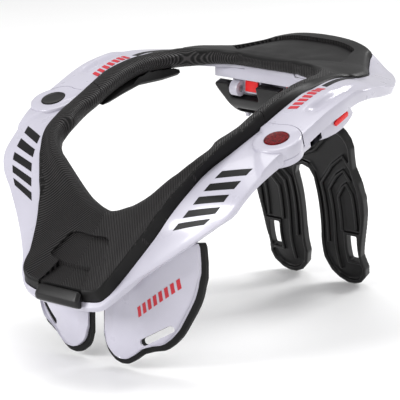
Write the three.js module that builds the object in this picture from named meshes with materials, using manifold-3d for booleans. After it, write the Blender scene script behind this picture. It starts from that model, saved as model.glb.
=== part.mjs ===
// Motocross neck brace: a rigid collar in two halves with a padded inner edge, two chest plates,
// a folding back strut with two legs, a hinge on one shoulder and a push latch on the other.
// Millimetres, +Z up, the wearer faces -Y and +X is the wearer's left.
// The origin is on the ground below the middle of the brace.

import * as THREE from "three";
import { mergeVertices } from "three/addons/utils/BufferGeometryUtils.js";
import Module from "manifold-3d";

const wasm = await Module();
wasm.setup();

// Overall sizes
const collarHalfWidth = 120;
const collarHalfLength = 163;
const collarHeight = 190;

// Clearances
const fitGap = 0.3;
const padGap = 0.4;
const seamGap = 0.6;
const underGap = 0.6;

// Collar walls and padding
const shellWall = 2.6;
const rimWall = 3;
const frontLip = 5;
const sideLip = 8;
const rearLip = 5;
const shellCrown = 0.9;
const tubeRadius = 8.5;
const bevelHeight = 9.5;
const bevelInset = 3;
const padCrown = 3;
const padSeat = 2;
const frontFlangeShare = 0.72;
const sideFlangeShare = 0.55;
const rearFlangeShare = 0.9;
const panelDepth = 3.6;

// Hinge and latch bosses
const bossX = 103;
const bossY = -46.4;
const bossZ = 164;
const bossTilt = THREE.MathUtils.degToRad(18);
const bossRadius = 17.5;
const bossDepth = 8;
const bossRise = 1;
const tongueRadius = 16.5;
const tongueWall = 5.6;
const capLength = 19.5;
const capWidth = 17;
const capDepth = 3;
const capRise = 0.9;
const pinRadius = 4;
const latchTravel = 3;

// Front tab and the notch behind it
const tabHalfWidth = 19.8;
const tabHeight = 11.7;
const tabDepth = 5.2;
const notchLength = 15.8;

// Chest plates
const plateThickness = 3;
const plateInset = 3;
const chestFoam = 3.5;
const chestSlotLength = 27;
const chestSlotWidth = 7;
const chestSlotTurn = THREE.MathUtils.degToRad(31.8);
const chestBend = 0.008;

// Back strut and its housing
const strutThickness = 7.5;
const strutPivotY = 84;
const strutPivotZ = 160.5;
const strutPinRadius = 2.5;
const lobeRadius = 7;
const earWidth = 7;
const slotWidth = 9.5;
const slotHeight = 22;
const leafThickness = 3;
const adjusterWidth = 18;
const adjusterHeight = 4.4;
const adjusterRise = 1.6;

// Collar rows from the front centre round the wearer's left to the rear centre, as shares.
// Columns: tube centre x y z, seat line x y z, rim x y z, of the half width, half length and height,
// then tube radius, bevel height and pad crown, of the sizes of those names.
const collarRows = [
  [0, -0.646, 0.526, 0, -0.957, 0.297, 0, -0.966, 0.282, 1, 0.947, -0.5],
  [0.075, -0.644, 0.534, 0.233, -0.945, 0.305, 0.242, -0.954, 0.289, 1, 0.947, -0.4],
  [0.142, -0.641, 0.55, 0.317, -0.933, 0.332, 0.342, -0.926, 0.332, 1, 1, -0.3],
  [0.217, -0.63, 0.572, 0.35, -0.865, 0.384, 0.45, -0.837, 0.403, 1, 1, -0.4],
  [0.317, -0.61, 0.616, 0.388, -0.804, 0.445, 0.6, -0.742, 0.484, 1, 1, -0.667],
  [0.417, -0.596, 0.674, 0.442, -0.724, 0.532, 0.758, -0.663, 0.574, 1, 1, -0.667],
  [0.483, -0.582, 0.711, 0.492, -0.669, 0.611, 0.867, -0.617, 0.637, 1, 1, -0.5],
  [0.542, -0.546, 0.753, 0.558, -0.607, 0.692, 0.912, -0.571, 0.7, 1, 0.947, -0.333],
  [0.583, -0.496, 0.787, 0.608, -0.53, 0.758, 0.938, -0.466, 0.766, 1, 0.947, 0],
  [0.613, -0.405, 0.824, 0.658, -0.405, 0.816, 0.958, -0.38, 0.813, 1, 0.737, 0],
  [0.633, -0.282, 0.861, 0.683, -0.258, 0.868, 0.975, -0.282, 0.847, 1, 0.737, 0],
  [0.642, -0.196, 0.889, 0.688, -0.196, 0.886, 0.975, -0.184, 0.882, 1, 0.737, 0],
  [0.646, -0.061, 0.932, 0.7, -0.061, 0.932, 0.975, -0.037, 0.929, 1, 0.737, 0],
  [0.642, 0.092, 0.961, 0.696, 0.092, 0.97, 0.971, 0.074, 0.953, 0.941, 0.526, 0],
  [0.625, 0.233, 0.966, 0.688, 0.233, 0.988, 0.946, 0.209, 0.97, 0.941, 0.421, 0],
  [0.575, 0.35, 0.966, 0.658, 0.356, 0.984, 0.925, 0.331, 0.971, 0.882, 0.368, 0],
  [0.5, 0.405, 0.968, 0.667, 0.442, 0.974, 0.904, 0.429, 0.961, 0.824, 0.316, 0],
  [0.417, 0.439, 0.971, 0.692, 0.491, 0.968, 0.883, 0.515, 0.95, 0.706, 0.316, 0.167],
  [0.333, 0.457, 0.974, 0.667, 0.589, 0.961, 0.858, 0.589, 0.937, 0.647, 0.368, 0.333],
  [0.258, 0.477, 0.974, 0.608, 0.663, 0.953, 0.792, 0.675, 0.932, 0.612, 0.421, 0.5],
  [0.192, 0.477, 0.974, 0.525, 0.748, 0.95, 0.692, 0.785, 0.924, 0.612, 0.421, 0.667],
  [0.125, 0.477, 0.974, 0.417, 0.871, 0.963, 0.55, 0.908, 0.916, 0.612, 0.421, 1],
  [0.075, 0.477, 0.974, 0.358, 0.945, 0.979, 0.425, 0.975, 0.908, 0.612, 0.421, 0.667],
  [0.033, 0.477, 0.974, 0.208, 0.972, 1, 0.225, 0.997, 0.905, 0.612, 0.421, 0.333],
  [0, 0.477, 0.974, 0, 0.975, 1.008, 0, 1, 0.905, 0.612, 0.421, 0],
];
const column = { tube: 0, seat: 3, rim: 6, profile: 9 };
const halfRing = collarRows.length - 1;
const ringRows = 2 * halfRing;
const seamRow = 11;
const stepsPerRow = 2;

// Shoulder pad rows from front to back.
// Columns: y of the half length, inner x and outer x of the half width, inner and outer foot of the height.
const shoulderRows = [
  [-0.165, 0.58, 0.79, 0.846, 0.86],
  [-0.12, 0.58, 0.79, 0.85, 0.872],
  [-0.03, 0.58, 0.83, 0.868, 0.892],
  [0.086, 0.575, 0.84, 0.889, 0.905],
  [0.239, 0.56, 0.83, 0.889, 0.908],
  [0.33, 0.53, 0.8, 0.9, 0.91],
];

const shoulderHead = 0.985;

// Chest pad rows from the middle to the side: x of the half width, then foot and head of the height.
const chestRows = [
  [0.046, 0.12, 0.5],
  [0.055, 0.08, 0.51],
  [0.08, 0.05, 0.52],
  [0.13, 0.024, 0.53],
  [0.18, 0.016, 0.55],
  [0.228, 0.02, 0.57],
  [0.28, 0.04, 0.6],
  [0.333, 0.068, 0.62],
  [0.4, 0.084, 0.63],
  [0.464, 0.092, 0.62],
  [0.51, 0.118, 0.6],
  [0.55, 0.152, 0.58],
  [0.583, 0.2, 0.56],
  [0.61, 0.24, 0.54],
  [0.635, 0.285, 0.52],
  [0.65, 0.34, 0.49],
  [0.656, 0.39, 0.43],
];
const chestFaceY = -0.742;
const chestBendX = 0.208;
const chestSlot = { x: 0.418, z: 0.148 };

// Front face of the back strut seen from the side: y of the half length, z of the height.
const strutBand = [
  [0.466, 0.895],
  [0.503, 0.8],
  [0.552, 0.742],
  [0.626, 0.721],
  [0.699, 0.705],
  [0.727, 0.674],
  [0.733, 0.621],
  [0.748, 0.547],
  [0.779, 0.463],
  [0.816, 0.384],
  [0.84, 0.295],
  [0.859, 0.163],
  [0.896, 0.079],
  [0.956, -0.032],
];

// Outline of one half of the back strut seen from the front: x of the half width, z of the height.
const strutOutline = [
  [0, 0.862],
  [0.092, 0.862],
  [0.092, 0.8],
  [0.304, 0.8],
  [0.304, 0.862],
  [0.408, 0.862],
  [0.417, 0.85],
  [0.37, 0.8],
  [0.335, 0.753],
  [0.325, 0.726],
  [0.312, 0.689],
  [0.35, 0.674],
  [0.383, 0.647],
  [0.4, 0.616],
  [0.4, 0.526],
  [0.425, 0.468],
  [0.433, 0.395],
  [0.425, 0.326],
  [0.392, 0.221],
  [0.367, 0.137],
  [0.383, 0.079],
  [0.367, 0.042],
  [0.317, 0.011],
  [0.267, 0],
  [0.208, 0],
  [0.15, 0.016],
  [0.1, 0.047],
  [0.067, 0.105],
  [0.071, 0.253],
  [0.071, 0.374],
  [0.075, 0.463],
  [0.05, 0.5],
  [0, 0.512],
];
const lobeOuterX = 0.4;
const strutSlot = { x: 0.31, z: 0.168 };

// Housing under the rear of the collar: side leaf outline, y of the half length, z of the height.
const leafOutline = [
  [0.501, 0.689],
  [0.573, 0.679],
  [0.632, 0.684],
  [0.699, 0.693],
  [0.785, 0.731],
  [0.789, 0.746],
  [0.745, 0.795],
  [0.7, 0.9],
  [0.6, 0.9],
  [0.571, 0.753],
  [0.544, 0.734],
];
const beamHalfWidth = 0.433;
const beamFrontY = 0.503;
const beamRearY = 0.687;
const beamFootZ = 0.884;
const beamHeadZ = 0.99;
const carrierInnerX = 0.1;
const carrierOuterX = 0.295;
const carrierFrontY = 0.534;
const carrierFootZ = 0.826;
const blockHalfWidth = 0.345;
const blockFrontY = 0.6;
const blockRearY = 0.773;
const leafX = 0.358;
const innerAdjuster = { x: 0.162, z: 0.857, halfWidth: 6, halfHeight: 4.3 };
const outerAdjuster = { y: 0.672, z: 0.753 };
const outerAdjusterTurn = THREE.MathUtils.degToRad(20);

// Colours and finishes
const finish = {
  shell: { color: 0xcfcdd8, roughness: 0.38, metalness: 0 },
  padding: { color: 0x2a2829, roughness: 0.7, metalness: 0 },
  foam: { color: 0x161617, roughness: 0.85, metalness: 0 },
  blackPlastic: { color: 0x1b1a1b, roughness: 0.42, metalness: 0 },
  redPlastic: { color: 0xd8202a, roughness: 0.35, metalness: 0 },
  latchRed: { color: 0x8c101b, roughness: 0.3, metalness: 0 },
  steel: { color: 0x8d8f94, roughness: 0.35, metalness: 1 },
};

// A point at shares of the three overall sizes.
function atShares(x, y, z) {
  return new THREE.Vector3(x * collarHalfWidth, y * collarHalfLength, z * collarHeight);
}

// A solid from a closed three.js geometry.
function solidOf(geometry) {
  const bare = geometry.index ? geometry.toNonIndexed() : geometry;
  bare.deleteAttribute("normal");
  bare.deleteAttribute("uv");
  const merged = mergeVertices(bare);
  const vertProperties = new Float32Array(merged.attributes.position.array);
  const triVerts = new Uint32Array(merged.index.array);
  return new wasm.Manifold(new wasm.Mesh({ numProp: 3, vertProperties, triVerts }));
}

// A three.js geometry from a solid.
function geometryOf(solid) {
  const mesh = solid.getMesh();
  const geometry = new THREE.BufferGeometry();
  geometry.setAttribute("position", new THREE.BufferAttribute(mesh.vertProperties, 3));
  geometry.setIndex(new THREE.BufferAttribute(mesh.triVerts, 1));
  geometry.computeVertexNormals();
  return geometry;
}

// The average normal of a closed ring of points.
function ringNormal(ring) {
  const normal = new THREE.Vector3();
  for (let i = 0; i < ring.length; i++) {
    const next = ring[(i + 1) % ring.length];
    normal.add(new THREE.Vector3().crossVectors(ring[i], next));
  }
  return normal.normalize();
}

// Triangles that fill a ring, all turning the way the ring turns.
function capFaces(ring) {
  const normal = ringNormal(ring);
  const right = new THREE.Vector3().subVectors(ring[1], ring[0]).projectOnPlane(normal).normalize();
  const upward = new THREE.Vector3().crossVectors(normal, right);
  const flat = ring.map((p) => new THREE.Vector2(p.dot(right), p.dot(upward)));
  return THREE.ShapeUtils.triangulateShape(flat, []).map(([a, b, c]) => {
    const turn = flat[b].clone().sub(flat[a]).cross(flat[c].clone().sub(flat[a]));
    return turn > 0 ? [a, b, c] : [a, c, b];
  });
}

// A closed solid through rings of equal point counts.
function loft(rings) {
  const count = rings[0].length;
  const points = rings.flat();
  const faces = [];
  for (let i = 0; i + 1 < rings.length; i++) {
    for (let j = 0; j < count; j++) {
      const a = i * count + j;
      const b = i * count + ((j + 1) % count);
      faces.push([a, b, b + count], [a, b + count, a + count]);
    }
  }
  const lastRing = (rings.length - 1) * count;
  capFaces(rings[0]).forEach(([a, b, c]) => faces.push([a, c, b]));
  capFaces(rings[rings.length - 1]).forEach((face) => faces.push(face.map((k) => k + lastRing)));
  const volume = faces.reduce((sum, [a, b, c]) => {
    return sum + points[a].dot(new THREE.Vector3().crossVectors(points[b], points[c]));
  }, 0);
  const position = [];
  faces.forEach(([a, b, c]) => {
    const corners = volume > 0 ? [a, b, c] : [a, c, b];
    corners.forEach((k) => position.push(points[k].x, points[k].y, points[k].z));
  });
  const geometry = new THREE.BufferGeometry();
  geometry.setAttribute("position", new THREE.Float32BufferAttribute(position, 3));
  return solidOf(geometry);
}

// A prism of a flat outline, placed by a matrix, its depth along the matrix's third axis.
function prism(outline, depth, matrix) {
  const shape = new THREE.Shape(outline.map(([a, b]) => new THREE.Vector2(a, b)));
  const geometry = new THREE.ExtrudeGeometry(shape, { depth, bevelEnabled: false, steps: 1 });
  return solidOf(geometry.applyMatrix4(matrix));
}

// A prism of a (y, z) outline from one x to another.
function prismAlongX(outline, fromX, toX) {
  const matrix = new THREE.Matrix4().makeBasis(
    new THREE.Vector3(0, 1, 0), new THREE.Vector3(0, 0, 1), new THREE.Vector3(1, 0, 0));
  return prism(outline, toX - fromX, matrix.setPosition(fromX, 0, 0));
}

// A prism of an (x, z) outline from one y to another.
function prismAlongY(outline, fromY, toY) {
  const matrix = new THREE.Matrix4().makeBasis(
    new THREE.Vector3(1, 0, 0), new THREE.Vector3(0, 0, 1), new THREE.Vector3(0, -1, 0));
  return prism(outline, toY - fromY, matrix.setPosition(0, toY, 0));
}

// A prism of an (x, y) outline from one z to another.
function prismAlongZ(outline, fromZ, toZ) {
  return prism(outline, toZ - fromZ, new THREE.Matrix4().setPosition(0, 0, fromZ));
}

// A box between two corners.
function block(low, high) {
  const geometry = new THREE.BoxGeometry(high[0] - low[0], high[1] - low[1], high[2] - low[2]);
  geometry.translate((low[0] + high[0]) / 2, (low[1] + high[1]) / 2, (low[2] + high[2]) / 2);
  return solidOf(geometry);
}

// A round bar along X.
function barAlongX(radius, fromX, toX, y, z, sides = 20) {
  const geometry = new THREE.CylinderGeometry(radius, radius, toX - fromX, sides);
  geometry.rotateZ(Math.PI / 2);
  geometry.translate((fromX + toX) / 2, y, z);
  return solidOf(geometry);
}

// A long slot outline, centred, with round ends.
function slotOutline(length, width, steps = 6) {
  const radius = width / 2;
  const reach = length / 2 - radius;
  const points = [];
  for (const end of [1, -1]) {
    for (let i = 0; i <= steps; i++) {
      const angle = -end * Math.PI / 2 + (Math.PI * i) / steps;
      points.push([end * reach + radius * Math.cos(angle), radius * Math.sin(angle)]);
    }
  }
  return points;
}

// The smooth closed line through one column of the collar rows.
function rail(first, mirrored) {
  const points = [];
  for (let i = 0; i < ringRows; i++) {
    const otherSide = i > halfRing;
    const row = collarRows[otherSide ? ringRows - i : i];
    const point = new THREE.Vector3(row[first], row[first + 1], row[first + 2]);
    if (otherSide && mirrored) {
      point.x = -point.x;
    }
    points.push(point);
  }
  return new THREE.CatmullRomCurve3(points, true, "catmullrom", 0.5);
}

const rails = {
  tube: rail(column.tube, true),
  seat: rail(column.seat, true),
  rim: rail(column.rim, true),
  profile: rail(column.profile, false),
};

// Everything known about the collar at one place round the ring, counted in rows.
function station(row) {
  const t = THREE.MathUtils.euclideanModulo(row / ringRows, 1);
  const place = (name) => atShares(...rails[name].getPoint(t).toArray());
  const heading = (name) => atShares(...rails[name].getTangent(t).toArray()).normalize();
  const tube = place("tube");
  const seat = place("seat");
  const rim = place("rim");
  const along = heading("tube").add(heading("seat")).normalize();
  const chord = seat.distanceTo(tube);
  const outward = new THREE.Vector3().subVectors(seat, tube).normalize();
  const up = new THREE.Vector3().crossVectors(outward, along).normalize();
  const width = rim.distanceTo(seat);
  const spread = THREE.MathUtils.smoothstep(width, 4, 14);
  const shellOut = outward.clone().lerp(rim.clone().sub(seat).normalize(), spread).normalize();
  const shellUp = new THREE.Vector3().crossVectors(shellOut, along).normalize();
  const profile = rails.profile.getPoint(t);
  return {
    tube, seat, rim, chord, outward, up, width, spread, shellOut, shellUp,
    radius: profile.x * tubeRadius,
    bevel: profile.y * bevelHeight,
    crown: profile.z * padCrown,
    at: (a, b) => seat.clone().addScaledVector(outward, a).addScaledVector(up, b),
    onShell: (base, a, b) => base.clone().addScaledVector(shellOut, a).addScaledVector(shellUp, b),
  };
}

// The row count from the front centre, alike on both sides.
function rowsFromFront(row) {
  return halfRing - Math.abs(halfRing - Math.abs(row));
}

// How far the seat flange reaches under the pad, and how deep the rim is turned down.
function flangeShare(row) {
  const place = rowsFromFront(row);
  const toSide = THREE.MathUtils.smoothstep(place, 6, 9);
  const toRear = THREE.MathUtils.smoothstep(place, 15, 18);
  const front = THREE.MathUtils.lerp(frontFlangeShare, sideFlangeShare, toSide);
  return THREE.MathUtils.lerp(front, rearFlangeShare, toRear);
}

function lipDepth(row) {
  const place = rowsFromFront(row);
  const toSide = THREE.MathUtils.smoothstep(place, 7, 10);
  const toRear = THREE.MathUtils.smoothstep(place, 16, 19);
  return THREE.MathUtils.lerp(THREE.MathUtils.lerp(frontLip, sideLip, toSide), rearLip, toRear);
}

// Height of the pad's underside above the seat line, at a share of the way in to the tube.
function padFoot(s, share) {
  return -(padSeat + share * (s.radius - padSeat));
}

// One ring of the padding: the tube, the sloping top and the steep outer bevel, grown by a gap.
function padRing(row, grown = 0) {
  const s = station(row);
  const radius = s.radius + grown;
  const slant = radius * Math.SQRT1_2;
  const head = s.at(-s.chord, radius);
  const brow = s.at(-bevelInset, s.bevel + grown);
  const top = [1 / 3, 2 / 3].map((share) => head.clone().lerp(brow, share).addScaledVector(s.up, s.crown));
  return [
    s.at(-s.chord, -radius),
    s.at(-s.chord - slant, -slant),
    s.at(-s.chord - radius, 0),
    s.at(-s.chord - slant, slant),
    head,
    ...top,
    brow,
    s.at(grown - padGap, 0),
    s.at(grown - padGap, -padSeat - grown),
  ];
}

function grownPadRing(row) {
  return padRing(row, padGap);
}

// The inner edge of the shell's wall, and where its underside meets the flange.
function shellInside(s) {
  const lip = Math.min(rimWall, 0.45 * s.width);
  const corner = s.onShell(s.rim, -lip, -shellWall);
  const steep = Math.max(0, -s.shellOut.dot(s.up));
  const foot = s.at(-shellWall * steep, -(padSeat + padGap + shellWall));
  const middle = s.onShell(s.seat.clone().lerp(s.rim, 0.5), 0, shellCrown - shellWall);
  const under = corner.clone().lerp(foot, 0.5).lerp(middle, s.spread);
  return { lip, corner, foot, under };
}

// One ring of the shell: top face, turned down rim, and the flange that the pad sits on.
function shellRing(row) {
  const s = station(row);
  const depth = lipDepth(row);
  const reach = flangeShare(row) * s.chord;
  const flangeTop = padFoot(s, flangeShare(row)) - padGap;
  const inside = shellInside(s);
  return [
    s.seat,
    s.onShell(s.seat.clone().lerp(s.rim, 0.5), 0, shellCrown * s.spread),
    s.rim,
    s.onShell(s.rim, 0.1 * depth, -depth),
    s.onShell(s.rim, 0.1 * depth - inside.lip, -depth),
    inside.corner,
    inside.under,
    inside.foot,
    s.at(-reach, flangeTop - shellWall),
    s.at(-reach, flangeTop),
    s.at(0, -(padSeat + padGap)),
  ];
}

// The space that the collar fills, from its underside upward, larger by the gap below it.
function collarSpaceRing(row) {
  const s = station(row);
  const share = flangeShare(row);
  const inside = shellInside(s);
  const headroom = 4 * tubeRadius;
  const flangeFoot = padFoot(s, share) - padGap - shellWall - underGap;
  return [
    s.onShell(s.rim, rimWall, -shellWall - underGap),
    inside.under.clone().addScaledVector(s.shellUp, -underGap),
    inside.foot.clone().addScaledVector(s.up, -underGap),
    s.at(-share * s.chord - underGap, flangeFoot),
    s.at(-share * s.chord - 2 * underGap, padFoot(s, share) - underGap),
    s.at(-s.chord, -s.radius - underGap),
    s.at(-s.chord - s.radius - underGap, -s.radius - underGap),
    s.at(-s.chord - s.radius - underGap, headroom),
    s.onShell(s.rim, rimWall, headroom),
  ];
}

// A loft of one kind of ring between two rows.
function sweep(ring, fromRow, toRow) {
  const count = Math.round((toRow - fromRow) * stepsPerRow);
  const rings = [];
  for (let i = 0; i <= count; i++) {
    rings.push(ring(fromRow + ((toRow - fromRow) * i) / count));
  }
  return loft(rings);
}

// Everything that a piece below the collar keeps clear of, between two rows.
function collarSpace(fromRow, toRow) {
  const lowered = [shellRing, padRing].flatMap((ring) => {
    const body = sweep((row) => ring(row), fromRow, toRow);
    return [-fitGap, 0, fitGap].map((shift) => body.translate([shift, 0, -2 * Math.abs(shift)]));
  });
  return joined([sweep(collarSpaceRing, fromRow, toRow), ...lowered]);
}

// The tilted frame of the hinge boss (side -1) or the latch boss (side 1), its third axis upward.
function bossMatrix(side) {
  const right = new THREE.Vector3(1, 0, 0);
  const back = new THREE.Vector3(0, Math.cos(bossTilt), Math.sin(bossTilt));
  const up = new THREE.Vector3(0, -Math.sin(bossTilt), Math.cos(bossTilt));
  return new THREE.Matrix4().makeBasis(right, back, up).setPosition(side * bossX, bossY, bossZ);
}

// A disc or an oval about a boss axis, between two heights above the boss plane.
function bossDisc(side, radiusX, radiusY, low, high, sides = 32) {
  const geometry = new THREE.CylinderGeometry(1, 1, high - low, sides);
  geometry.rotateX(Math.PI / 2);
  geometry.scale(radiusX, radiusY, 1);
  geometry.translate(0, 0, (low + high) / 2);
  return solidOf(geometry.applyMatrix4(bossMatrix(side)));
}

// A block in a boss frame.
function bossBlock(side, low, high) {
  const geometry = new THREE.BoxGeometry(high[0] - low[0], high[1] - low[1], high[2] - low[2]);
  geometry.translate((low[0] + high[0]) / 2, (low[1] + high[1]) / 2, (low[2] + high[2]) / 2);
  return solidOf(geometry.applyMatrix4(bossMatrix(side)));
}

function joined(solids) {
  return solids.reduce((sum, solid) => sum.add(solid));
}

const sides = [-1, 1];
const far = 2 * collarHalfLength;
const seamY = atShares(0, collarRows[seamRow][column.seat + 1], 0).y;
const seamX = bossX - 1;
const tongueTop = -bossDepth - padGap;
const tongueFoot = tongueTop - tongueWall;

// Everything in front of the seam, moved back by an offset: the boss discs reach behind it.
function frontSide(offset) {
  const outer = block([-far, -far, -far], [far, bossY + offset, far]);
  const inner = block([-seamX - offset, -far, -far], [seamX + offset, seamY + offset, far]);
  const discs = sides.map((side) => bossDisc(side, bossRadius + offset, bossRadius + offset, -far, far));
  return joined([outer, inner, ...discs]);
}

// Front half of the collar
function frontShell() {
  const padRoom = sweep(grownPadRing, -seamRow - 1, seamRow + 1);
  const body = sweep(shellRing, -seamRow - 1, seamRow + 1).subtract(padRoom).intersect(frontSide(0));
  const discs = sides.map((side) => bossDisc(side, bossRadius, bossRadius, -bossDepth, bossRise));
  const tongueRoom = sides.map((side) => {
    const room = bossRadius + seamGap;
    return bossDisc(side, room, room, -far, -bossDepth);
  });
  const capRoom = sides.map((side) => {
    const floor = side > 0 ? -capDepth - latchTravel - fitGap : -capDepth - fitGap;
    return bossDisc(side, capLength / 2 + fitGap, capWidth / 2 + fitGap, floor, bossDepth);
  });
  const bores = sides.map((side) => {
    return bossDisc(side, pinRadius + fitGap, pinRadius + fitGap, -far, 0, 20);
  });
  return body.subtract(joined(tongueRoom)).add(joined(discs)).subtract(joined([...capRoom, ...bores]));
}

function frontPad() {
  const body = sweep(padRing, -seamRow - 1, seamRow + 1);
  const kept = block([-far, -far, -far], [far, seamY - seamGap / 2, far]);
  const clearOfBoss = sides.map((side) => {
    return bossDisc(side, bossRadius + padGap, bossRadius + padGap, -far, far);
  });
  return body.intersect(kept).subtract(joined(clearOfBoss)).subtract(notch());
}

// The notch in the front pad behind the tab.
function notch() {
  const front = station(0).seat;
  const rearY = front.y + notchLength;
  const rise = 0.55 * notchLength;
  const profile = [
    [rearY, front.z + bevelHeight + rise],
    [front.y, front.z + bevelHeight],
    [front.y - 0.8, front.z - bevelHeight],
    [-far, front.z - bevelHeight],
    [-far, front.z + 4 * bevelHeight],
    [rearY, front.z + 4 * bevelHeight],
  ];
  const plan = [
    [-0.72 * tabHalfWidth, rearY],
    [-tabHalfWidth, front.y],
    [-1.05 * tabHalfWidth, -far],
    [1.05 * tabHalfWidth, -far],
    [tabHalfWidth, front.y],
    [0.72 * tabHalfWidth, rearY],
  ];
  const tall = prismAlongZ(plan, 0, collarHeight);
  return prismAlongX(profile, -collarHalfWidth, collarHalfWidth).intersect(tall);
}

// The tab that hooks over the front rim.
function frontTab() {
  const rim = station(0).rim;
  const rearY = rim.y - fitGap;
  const foot = rim.z - 0.5;
  const shares = [-1, -0.85, -0.45, 0.45, 0.85, 1];
  const heads = [0.62, 0.82, 1, 1, 0.82, 0.62];
  return loft(shares.map((share, i) => {
    const x = share * tabHalfWidth;
    const front = rearY - tabDepth * (1 - 0.28 * share * share);
    const head = foot + tabHeight * heads[i];
    return [
      new THREE.Vector3(x, rearY, foot),
      new THREE.Vector3(x, front, foot + 0.1 * tabHeight),
      new THREE.Vector3(x, front, foot + 0.6 * tabHeight * heads[i]),
      new THREE.Vector3(x, rearY + 0.4, head),
    ];
  }));
}

// Rear half of the collar with the two tongues that the front half laps over
function tongue(side) {
  const disc = bossDisc(side, tongueRadius, tongueRadius, tongueFoot, tongueTop);
  const inner = -0.35 * tongueRadius * side;
  const outer = 0.8 * tongueRadius * side;
  const low = Math.min(inner, outer);
  const high = Math.max(inner, outer);
  const rear = 1.85 * bossRadius;
  const neck = bossBlock(side, [low, 0, tongueFoot], [high, rear, tongueTop]);
  const riser = bossBlock(side, [low, bossRadius + 2 * seamGap, tongueFoot], [high, rear, -shellWall]);
  return joined([disc, neck, riser]);
}

function rearShell() {
  const padRoom = sweep(grownPadRing, seamRow - 2, ringRows - seamRow + 2);
  const ring = sweep(shellRing, seamRow - 2, ringRows - seamRow + 2);
  const body = ring.subtract(padRoom).subtract(frontSide(seamGap));
  const bores = sides.map((side) => {
    return bossDisc(side, pinRadius + fitGap, pinRadius + fitGap, -far, 0, 20);
  });
  return body.add(joined(sides.map(tongue))).subtract(joined(bores));
}

function rearPad() {
  const body = sweep(padRing, seamRow - 1, ringRows - seamRow + 1);
  const kept = block([-far, seamY + seamGap / 2, -far], [far, far, far]);
  const panel = sweep(panelRing, halfRing - 4.4, halfRing + 4.4);
  return body.intersect(kept).subtract(panel);
}

// The shallow panel pressed into the rear of the padding.
function panelRing(row) {
  const s = station(row);
  const spread = Math.abs(row - halfRing) / 4.4;
  const outer = -0.17 * s.chord - 0.25 * s.chord * spread ** 4;
  const inner = -s.chord + 1.6 * s.radius;
  const floorAt = (a) => {
    const share = THREE.MathUtils.clamp((a + s.chord) / (s.chord - bevelInset), 0, 1);
    return THREE.MathUtils.lerp(s.radius, s.bevel, share) - panelDepth;
  };
  const headroom = 3 * bevelHeight;
  return [s.at(inner, floorAt(inner)), s.at(outer, floorAt(outer)), s.at(outer, headroom), s.at(inner, headroom)];
}

// The pads that rest on the shoulders, below the collar's sides.
function shoulderPad(side, collarSpace) {
  const rings = shoulderRows.map(([y, inner, outer, innerFoot, outerFoot]) => {
    const corner = (x, z) => atShares(side * x, y, z);
    return [
      corner(inner, innerFoot + 0.012),
      corner(inner + 0.02, innerFoot),
      corner(outer - 0.03, outerFoot),
      corner(outer, outerFoot + 0.02),
      corner(outer, shoulderHead),
      corner(inner + 0.04, shoulderHead),
    ];
  });
  return loft(rings).subtract(collarSpace);
}

// A chest plate or the foam behind it, between two depths behind the plate's face.
function chestPanel(side, inset, fromDepth, toDepth) {
  const first = chestRows[0][0] * collarHalfWidth;
  const last = chestRows[chestRows.length - 1][0] * collarHalfWidth;
  const middle = (first + last) / 2;
  const squeeze = 1 - (2 * inset) / (last - first);
  const rings = chestRows.map(([share, foot, head]) => {
    const x = middle + (share * collarHalfWidth - middle) * squeeze;
    const bend = chestBend * Math.max(0, x - chestBendX * collarHalfWidth) ** 2;
    const face = chestFaceY * collarHalfLength + bend;
    const low = foot * collarHeight + inset;
    const high = head * collarHeight;
    return [
      new THREE.Vector3(side * x, face + fromDepth, low),
      new THREE.Vector3(side * x, face + toDepth, low),
      new THREE.Vector3(side * x, face + toDepth, high),
      new THREE.Vector3(side * x, face + fromDepth, high),
    ];
  });
  return loft(rings);
}

// The strap slot through one chest plate and its foam.
function chestSlotCut(side) {
  const turned = slotOutline(chestSlotLength, chestSlotWidth).map(([a, b]) => {
    const x = a * Math.cos(chestSlotTurn) - b * Math.sin(chestSlotTurn);
    const z = a * Math.sin(chestSlotTurn) + b * Math.cos(chestSlotTurn);
    return [side * (chestSlot.x * collarHalfWidth + x), chestSlot.z * collarHeight + z];
  });
  return prismAlongY(turned, -collarHalfLength, 0);
}

function chestPlate(side, collarSpace) {
  return chestPanel(side, plateInset, 0, plateThickness).subtract(collarSpace).subtract(chestSlotCut(side));
}

function chestPad(side, collarSpace) {
  const from = plateThickness + fitGap;
  return chestPanel(side, 0, from, from + chestFoam).subtract(collarSpace).subtract(chestSlotCut(side));
}

// Hinge parts on the wearer's right, latch button on the left
function hingeCap() {
  return bossDisc(-1, capLength / 2, capWidth / 2, -capDepth, bossRise + capRise, 40);
}

function hingePin() {
  return bossDisc(-1, pinRadius, pinRadius, tongueFoot - fitGap, -capDepth - 2 * fitGap, 20);
}

function latchButton() {
  const cap = bossDisc(1, capLength / 2, capWidth / 2, -capDepth, bossRise + capRise, 40);
  const stem = bossDisc(1, pinRadius, pinRadius, -bossDepth, -capDepth + 1, 20);
  return cap.add(stem);
}

// The side profile of the strut, thickened backward by an offset from its front face.
function bandLine(offset) {
  const line = strutBand.map(([y, z]) => new THREE.Vector2(y * collarHalfLength, z * collarHeight));
  return line.map((point, i) => {
    const before = line[Math.max(0, i - 1)];
    const after = line[Math.min(line.length - 1, i + 1)];
    const heading = after.clone().sub(before).normalize();
    return [point.x - heading.y * offset, point.y + heading.x * offset];
  });
}

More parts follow.
